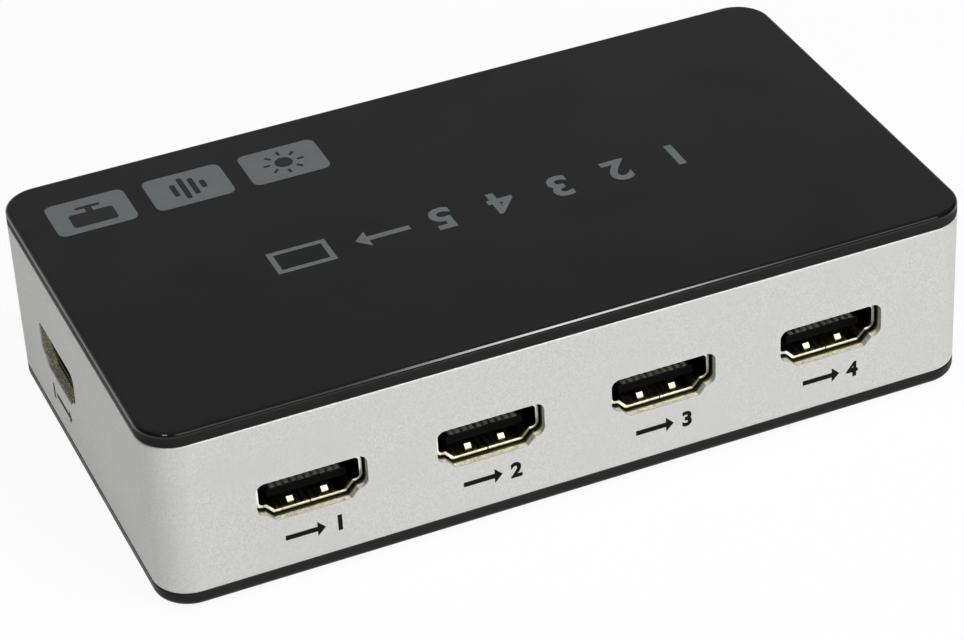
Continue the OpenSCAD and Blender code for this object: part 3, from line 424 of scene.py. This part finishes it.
def rubber_finish():
    """Dull black rubber with dust in its grain."""
    material, tree, shader = start_finish("foot rubber")
    grain = place_group(tree, fine_grain, Size_mm=0.3)
    dust = smudges(tree, 3.0)
    plain = blend_colours(tree, grain["Speckle"], grey(0.018), grey(0.03))
    colour = blend_colours(tree, dust, plain, (0.05, 0.048, 0.045))
    dress(tree, shader, colour, spread(tree, dust, 0.0, 1.0, 0.75, 0.95), grain["Height"], 0.03)
    return material


def board_finish():
    """Green lacquered board: copper shows through as paler tracks, weave as a slight grain, and its
    edge is bare."""
    material, tree, shader = start_finish("lacquered board")
    cells = {"Vector": per_mm(tree, 4.0), "Scale": 1.0}
    track = add(tree, "ShaderNodeTexVoronoi", cells, feature="DISTANCE_TO_EDGE", distance="EUCLIDEAN")
    lane = spread(tree, track.outputs["Distance"], 0.05, 0.09, 1.0, 0.0)
    weave = place_group(tree, fine_grain, Size_mm=0.4)
    plain = blend_colours(tree, weave["Speckle"], (0.008, 0.075, 0.03), (0.011, 0.095, 0.04))
    lacquer = blend_colours(tree, lane, plain, (0.03, 0.17, 0.075))
    rim = spread(tree, part_facing(tree, "Z"), 0.4, 0.6, 1.0, 0.0)
    colour = blend_colours(tree, rim, lacquer, (0.06, 0.048, 0.02))
    height = maths(tree, "ADD", lane, maths(tree, "MULTIPLY", weave["Height"], 0.3))
    dress(tree, shader, colour, spread(tree, lane, 0.0, 1.0, 0.38, 0.28), height, 0.03)
    return material


def clear_finish(name, colour, transmission, roughness):
    """Clear or tinted moulding that lets light in, with a faint flow wave."""
    material, tree, shader = start_finish(name)
    wave = place_group(tree, fine_grain, Size_mm=1.2)
    tint = blend_colours(tree, wave["Speckle"], shade(colour, 0.94), colour)
    smeared = spread(tree, smudges(tree, 3.0), 0.0, 1.0, roughness, roughness + 0.06)
    dress(tree, shader, tint, smeared, wave["Height"], 0.002)
    shader.inputs["Transmission Weight"].default_value = transmission
    shader.inputs["IOR"].default_value = 1.5
    return material


def ink_finish(name, colour, roughness, gloss=0.5):
    """Screen-printed ink: slightly uneven in tone, with a dry surface."""
    material, tree, shader = start_finish(name)
    grain = place_group(tree, fine_grain, Size_mm=0.12)
    plain = blend_colours(tree, grain["Speckle"], shade(colour, 0.88), shade(colour, 1.12))
    uneven = blend_colours(tree, smudges(tree, 2.0), plain, shade(colour, 1.06))
    dry = spread(tree, grain["Speckle"], 0.0, 1.0, roughness, roughness + 0.1)
    dress(tree, shader, uneven, dry, grain["Height"], 0.004)
    shader.inputs["Specular IOR Level"].default_value = gloss
    return material


finishes = {
    "lid_gloss_black": gloss_lid_finish(),
    "frame_silver": silver_frame_finish(),
    "base_black": moulded_finish(
        "satin black base", (0.012, 0.012, 0.0125), roughness=0.45, grain_mm=0.22, depth_mm=0.01, gloss=0.12),
    "foot_rubber": rubber_finish(),
    "board_green": board_finish(),
    "button_black": moulded_finish(
        "satin black button", (0.02, 0.02, 0.021), roughness=0.42, grain_mm=0.15, depth_mm=0.006),
    "switch_ivory": moulded_finish(
        "ivory key stem", (0.62, 0.56, 0.42), roughness=0.5, grain_mm=0.15, depth_mm=0.006),
    "switch_black": moulded_finish(
        "key switch housing", grey(0.02), roughness=0.55, grain_mm=0.15, depth_mm=0.008),
    "insulator_black": socket_moulding_finish(),
    "chip_black": moulded_finish(
        "chip package", (0.022, 0.022, 0.023), roughness=0.6, grain_mm=0.1, depth_mm=0.01, rub_mm=0.1),
    "jack_black": moulded_finish(
        "jack moulding", grey(0.013), roughness=0.5, grain_mm=0.15, depth_mm=0.008),
    "screw_steel": plated_finish("zinc plated screw", (0.52, 0.52, 0.53), 0.32, (1.2, 0.12, 0.12)),
    "tin_plate": plated_finish("bright tin plate", (0.68, 0.69, 0.69), 0.28, (0.6, 0.6, 0.08)),
    "contact_gold": plated_finish("gold flashed contact", (0.68, 0.64, 0.54), 0.7, (0.12, 0.9, 0.2)),
    "shell_gold": shell_finish(),
    "crystal_can": plated_finish("drawn can", (0.66, 0.66, 0.67), 0.3, (1.5, 0.1, 0.1)),
    "capacitor_sleeve": plated_finish("capacitor can", (0.58, 0.58, 0.6), 0.35, (0.1, 0.1, 1.0)),
    "light_clear": clear_finish(
        "clear light lens", (0.86, 0.89, 0.9), transmission=0.85, roughness=0.06),
    "window_dark_red": clear_finish(
        "dark red receiver window", (0.05, 0.004, 0.005), transmission=0.35, roughness=0.05),
}
label_ink = ink_finish("black label ink", grey(0.004), roughness=0.5, gloss=0.08)
lid_ink = ink_finish("grey lid ink", (0.124, 0.138, 0.138), roughness=0.4)
lid_knockout = ink_finish("dark lid ink", grey(0.008), roughness=0.3)

slot_of = {row["node"]: row["material_slot"] for row in frame["record"]["subparts"]}
for node, piece in frame["nodes"].items():
    piece.data.materials.clear()
    piece.data.materials.append(finishes[slot_of[node]])

# Outlines of the printed marks, in mm

ROUND_STEPS = 10


def arc(centre, radius, start, end, steps=ROUND_STEPS):
    """Points along an arc, with angles in degrees."""
    turns = [math.radians(start + (end - start) * i / steps) for i in range(steps + 1)]
    return [(centre[0] + radius * math.cos(a), centre[1] + radius * math.sin(a)) for a in turns]


def bar(left, low, right, high, radius=0.0):
    """A rectangle's outline, with rounded corners if asked."""
    if not radius:
        return [(left, low), (right, low), (right, high), (left, high)]
    outline = arc((right - radius, high - radius), radius, 0, 90)
    outline += arc((left + radius, high - radius), radius, 90, 180)
    outline += arc((left + radius, low + radius), radius, 180, 270)
    return outline + arc((right - radius, low + radius), radius, 270, 360)


def open_box(left, low, right, high, line):
    """The four bars round an empty box, of a line's width."""
    upright_low, upright_high = low + line, high - line
    return [bar(left, low, right, upright_low), bar(left, upright_high, right, high),
            bar(left, upright_low, left + line, upright_high),
            bar(right - line, upright_low, right, upright_high)]


def disc(centre, radius):
    """A circle's outline."""
    return arc(centre, radius, 0, 360, 4 * ROUND_STEPS)[:-1]


def arrow(left, right, middle, shaft, head):
    """An arrow that points to the right; shaft is its bar's width, and head its tip's length and half
    width."""
    neck = right - head
    return [(left, middle - shaft / 2), (neck, middle - shaft / 2), (neck, middle - head), (right, middle),
            (neck, middle + head), (neck, middle + shaft / 2), (left, middle + shaft / 2)]


def turned(outline, degrees):
    """An outline turned round the origin."""
    angle = math.radians(degrees)
    return [(x * math.cos(angle) - y * math.sin(angle), x * math.sin(angle) + y * math.cos(angle))
            for x, y in outline]


def screen_sign():
    """A screen on its stand."""
    return [bar(-3.2, -0.6, 3.2, 2.8, 0.5), bar(-0.5, -1.6, 0.5, -0.6), bar(-1.8, -2.2, 1.8, -1.6, 0.25)]


def sound_sign():
    """Four upright bars of unlike heights."""
    first, step, width = -2.6, 1.4, 0.8
    half_heights = (1.0, 2.2, 2.8, 1.6)
    lefts = [first + step * i for i in range(len(half_heights))]
    return [bar(left, -tall, left + width, tall, 0.3) for left, tall in zip(lefts, half_heights)]


def light_sign():
    """A disc with rays round it."""
    rays = 8
    ray = bar(2.0, -0.22, 3.0, 0.22)
    return [disc((0.0, 0.0), 1.3)] + [turned(ray, 360 / rays * i) for i in range(rays)]


# Ink

INK = 0.015 * MM


def raised_ink(outlines, low=0.0, high=INK):
    """A thin closed plate of ink for each outline."""
    mesh = bpy.data.meshes.new("ink")
    plates = bmesh.new()
    for outline in outlines:
        lower = [plates.verts.new((x * MM, y * MM, low)) for x, y in outline]
        upper = [plates.verts.new((x * MM, y * MM, high)) for x, y in outline]
        plates.faces.new(list(reversed(lower)))
        plates.faces.new(upper)
        for i in range(len(outline)):
            j = (i + 1) % len(outline)
            plates.faces.new((lower[i], lower[j], upper[j], upper[i]))
    bmesh.ops.recalc_face_normals(plates, faces=plates.faces)
    plates.to_mesh(mesh)
    plates.free()
    return mesh


def flat_figure(figure, weight):
    """A figure as a flat mesh in the font's own size; weight thickens its strokes."""
    curve = bpy.data.curves.new("figure", "FONT")
    curve.body = figure
    curve.offset = weight
    curve.resolution_u = 4
    shown = bpy.data.objects.new("figure", curve)
    bpy.context.scene.collection.objects.link(shown)
    bpy.context.view_layer.update()
    mesh = bpy.data.meshes.new_from_object(shown.evaluated_get(bpy.context.evaluated_depsgraph_get()))
    bpy.data.objects.remove(shown)
    bpy.data.curves.remove(curve)
    return mesh


def numeral(figure, tall_mm, weight, aside_mm):
    """One figure as a thin plate of ink, of a height in mm, that stands beside the origin."""
    mesh = flat_figure(figure, weight)
    xs = [v.co.x for v in mesh.vertices]
    ys = [v.co.y for v in mesh.vertices]
    size = tall_mm * MM / (max(ys) - min(ys))
    foot = Vector(((max(xs) + min(xs)) / 2, min(ys), 0.0))
    mesh.transform(Matrix.Scale(size, 4) @ Matrix.Translation(-foot))
    body = bmesh.new()
    body.from_mesh(mesh)
    bmesh.ops.remove_doubles(body, verts=body.verts, dist=1e-7)
    top = bmesh.ops.extrude_face_region(body, geom=list(body.faces))["geom"]
    raised = [v for v in top if isinstance(v, bmesh.types.BMVert)]
    bmesh.ops.translate(body, verts=raised, vec=(0.0, 0.0, INK))
    bmesh.ops.recalc_face_normals(body, faces=body.faces)
    for face in body.faces:
        face.smooth = False
    body.to_mesh(mesh)
    body.free()
    mesh.transform(Matrix.Translation((aside_mm * MM, 0.0, 0.0)))
    return mesh


def print_on_case(name, meshes, centre, face, ink):
    """Joins ink plates, lays them on a face of the case and lets them ride on it. face gives the
    print's own right and up."""
    joined = bmesh.new()
    for mesh in meshes:
        joined.from_mesh(mesh)
        bpy.data.meshes.remove(mesh)
    right, up = face
    out = Vector(right).cross(Vector(up))
    turn = Matrix((right, up, out)).transposed().to_4x4()
    joined.transform(Matrix.Translation(centre) @ turn)
    result = bpy.data.meshes.new(name)
    joined.to_mesh(result)
    joined.free()
    result.materials.append(ink)
    piece = bpy.data.objects.new(name, result)
    bpy.context.scene.collection.objects.link(piece)
    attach(piece, "case")


# Printed marks

# Right and up of the prints on each face
INPUT_FACE = ((1, 0, 0), (0, 0, 1))
OUTPUT_FACE = ((0, -1, 0), (0, 0, 1))
LID_FACE = ((-1, 0, 0), (0, -1, 0))

# The labels at the sockets: their height, where they start and where each mark lies along them
LABEL_MM = 2.5
LABEL_Z = 6.3 * MM
LABEL_WEIGHT = 0.045
INPUT_ARROW = (-4.3, 1.3)
INPUT_FIGURE = 3.3
OUTPUT_BAR = (-4.2, -3.5)
OUTPUT_ARROW = (-2.7, 4.2)


def label_arrow(ends):
    """A label's arrow between two ends, at half the label's height."""
    left, right = ends
    return arrow(left, right, LABEL_MM / 2, shaft=0.75, head=1.15)


for count in range(1, 5):
    across = socket_middle("input_%d" % count).x
    pointer = raised_ink([label_arrow(INPUT_ARROW)])
    figure = numeral(str(count), LABEL_MM, LABEL_WEIGHT, INPUT_FIGURE)
    place = (across, frame_low.y, LABEL_Z)
    print_on_case("input_label_%d" % count, [pointer, figure], place, INPUT_FACE, label_ink)

across = socket_middle("output").y
stem = raised_ink([bar(OUTPUT_BAR[0], 0.0, OUTPUT_BAR[1], LABEL_MM), label_arrow(OUTPUT_ARROW)])
place = (frame_low.x, across, LABEL_Z)
print_on_case("output_label", [stem], place, OUTPUT_FACE, label_ink)

# The row on the lid: its height and place, its figures, its arrow and the outline of a screen
ROW_MM = 5.4
ROW_PLACE = (1.4 * MM, 0.9 * MM, lid_top)
ROW_WEIGHT = 0.03
ROW_FIRST = -28.0
ROW_STEP = 8.8
ROW_ARROW = (12.0, 20.0)
ROW_SCREEN = (23.5, 32.0)
row = [numeral(str(i + 1), ROW_MM, ROW_WEIGHT, ROW_FIRST + ROW_STEP * i) for i in range(5)]
row.append(raised_ink([arrow(ROW_ARROW[0], ROW_ARROW[1], ROW_MM / 2, shaft=1.0, head=1.9)]))
row.append(raised_ink(open_box(ROW_SCREEN[0], 0.0, ROW_SCREEN[1], ROW_MM, line=0.8)))
print_on_case("lid_selector_row", row, ROW_PLACE, LID_FACE, lid_ink)

# The three tiles on the lid, each with its sign on top
TILE_W = 11.5
TILE_H = 8.4
TILE_R = 1.2
TILE_FIRST = -48.4
TILE_STEP = 14.2
TILE_Y = 22.0
tile_signs = {"screen": screen_sign(), "sound": sound_sign(), "light": light_sign()}
for i, (sign, outlines) in enumerate(tile_signs.items()):
    place = ((TILE_FIRST + TILE_STEP * i) * MM, TILE_Y * MM, lid_top)
    tile = raised_ink([bar(-TILE_W / 2, -TILE_H / 2, TILE_W / 2, TILE_H / 2, TILE_R)])
    print_on_case("lid_tile_" + sign, [tile], place, LID_FACE, lid_ink)
    dark = raised_ink(outlines, INK, 2 * INK)
    print_on_case("lid_sign_" + sign, [dark], place, LID_FACE, lid_knockout)

# Studio and camera

scene = bpy.context.scene
scene.view_settings.view_transform = "Standard"

WHITE = (1.0, 1.0, 1.0, 1.0)
HORIZON_LEVEL = 0.75
OVERHEAD_LEVEL = 0.28
END_LEVEL = 0.15
FLOOR_COLOUR = (0.74, 0.74, 0.74, 1.0)
FLOOR_HALF = 12.0
WHITE_SHARE = 0.94


def studio_world():
    """Soft surround: pale at the horizon, and dimmer overhead and beside the two ends of the case."""
    world = bpy.data.worlds.new("studio surround")
    world.use_nodes = True
    tree = world.node_tree
    tree.nodes.clear()
    ray = parts_of(tree, add(tree, "ShaderNodeTexCoord").outputs["Generated"])
    level = spread(tree, ray["Z"], 0.05, 0.4, HORIZON_LEVEL, OVERHEAD_LEVEL)
    either_end = maths(tree, "MULTIPLY", maths(tree, "ABSOLUTE", ray["X"]), 0.9)
    towards = maths(tree, "ADD", either_end, maths(tree, "MULTIPLY", ray["Y"], -0.44))
    level = maths(tree, "MULTIPLY", level, spread(tree, towards, 0.2, 0.8, 1.0, END_LEVEL))
    sky = add(tree, "ShaderNodeBackground", {"Color": WHITE, "Strength": level})
    add(tree, "ShaderNodeOutputWorld", {"Surface": sky.outputs["Background"]})
    scene.world = world


def studio_floor():
    """Plain white floor that keeps a soft shadow; to the eye and in reflections it is close to white."""
    mesh = bpy.data.meshes.new("floor")
    corners = [(x * FLOOR_HALF, y * FLOOR_HALF, 0.0) for x, y in ((-1, -1), (1, -1), (1, 1), (-1, 1))]
    mesh.from_pydata(corners, [], [(0, 1, 2, 3)])
    floor = bpy.data.objects.new("floor", mesh)
    floor.location.z = -0.05 * MM
    scene.collection.objects.link(floor)
    material = bpy.data.materials.new("white floor")
    material.use_nodes = True
    tree = material.node_tree
    tree.nodes.clear()
    lit = add(tree, "ShaderNodeBsdfDiffuse", {"Color": FLOOR_COLOUR})
    white = add(tree, "ShaderNodeEmission", {"Color": WHITE, "Strength": 1.0})
    path = add(tree, "ShaderNodeLightPath").outputs
    seen = maths(tree, "MAXIMUM", path["Is Camera Ray"], path["Is Glossy Ray"])
    seen = maths(tree, "MAXIMUM", seen, path["Is Transmission Ray"])
    share = maths(tree, "MULTIPLY", seen, WHITE_SHARE)
    mixed = add(tree, "ShaderNodeMixShader", {0: share, 1: lit.outputs[0], 2: white.outputs[0]})
    add(tree, "ShaderNodeOutputMaterial", {"Surface": mixed.outputs[0]})
    mesh.materials.append(material)


def fade_sides(light, fade):
    """Lets a panel light fall off towards its sides, over a share of its width."""
    light.use_nodes = True
    tree = light.node_tree
    tree.nodes.clear()
    across = parts_of(tree, add(tree, "ShaderNodeNewGeometry").outputs["Parametric"])["X"]
    aside = maths(tree, "ABSOLUTE", maths(tree, "SUBTRACT", across, 0.5))
    strength = spread(tree, aside, 0.5 - fade / 2, 0.5, 1.0, 0.0)
    glow = add(tree, "ShaderNodeEmission", {"Strength": strength})
    add(tree, "ShaderNodeOutputLight", {"Surface": glow.outputs["Emission"]})


def softbox(name, place, target, width, height, brightness, fade=0.0):
    """A soft panel light with its height square to the case's length, in metres. brightness is that of
    its face, and fade the share of its width over which it falls off towards its sides."""
    light = bpy.data.lights.new(name, "AREA")
    light.shape = "RECTANGLE"
    light.size = width
    light.size_y = height
    light.energy = brightness * width * height * math.pi
    if fade:
        fade_sides(light, fade)
    lamp = bpy.data.objects.new(name, light)
    back = (Vector(place) - Vector(target)).normalized()
    upright = back.cross(Vector((1.0, 0.0, 0.0))).normalized()
    facing = Matrix((upright.cross(back), upright, back)).transposed().to_4x4()
    lamp.matrix_world = Matrix.Translation(place) @ facing
    lamp.visible_camera = False
    scene.collection.objects.link(lamp)


def studio_lights():
    """A lamp on the left, a broad panel in front, and a tall key light that draws the lid's bright edge."""
    middle = (0.0, 0.0, 0.012)
    lid_edge = (0.006, -0.0323, 0.0284)
    softbox("left lamp", (-0.4, -0.36, 0.64), middle, width=0.13, height=0.15, brightness=18.5)
    softbox("front panel", (0.17, -0.85, 0.72), middle, width=0.8, height=0.5, brightness=2.0)
    softbox("key light", (0.248, -0.455, 0.595), lid_edge, width=0.16, height=0.65, brightness=23.7, fade=0.9)


def photo_camera():
    """The camera, from the angles and distance that the case's edges give."""
    turn = math.radians(-21.411)
    tilt = math.radians(34.354)
    roll = math.radians(-3.381)
    distance, aside, above = 481.038 * MM, -0.029 * MM, -2.362 * MM
    aim = Vector((0.0, 0.0, 11.692 * MM))
    back = Vector((math.sin(turn) * math.cos(tilt), -math.cos(turn) * math.cos(tilt), math.sin(tilt)))
    level = Vector((math.cos(turn), math.sin(turn), 0.0))
    upright = back.cross(level)
    right = math.cos(roll) * level + math.sin(roll) * upright
    up = math.cos(roll) * upright - math.sin(roll) * level
    camera = bpy.data.cameras.new("photo camera")
    camera.sensor_fit = "HORIZONTAL"
    camera.sensor_width = 36.0
    camera.lens = 128.346
    camera.clip_start = 0.01
    seat = bpy.data.objects.new("photo camera", camera)
    facing = Matrix((right, up, back)).transposed().to_4x4()
    seat.matrix_world = Matrix.Translation(aim + back * distance + right * aside + up * above) @ facing
    scene.collection.objects.link(seat)
    scene.camera = seat


studio_world()
studio_floor()
studio_lights()
photo_camera()
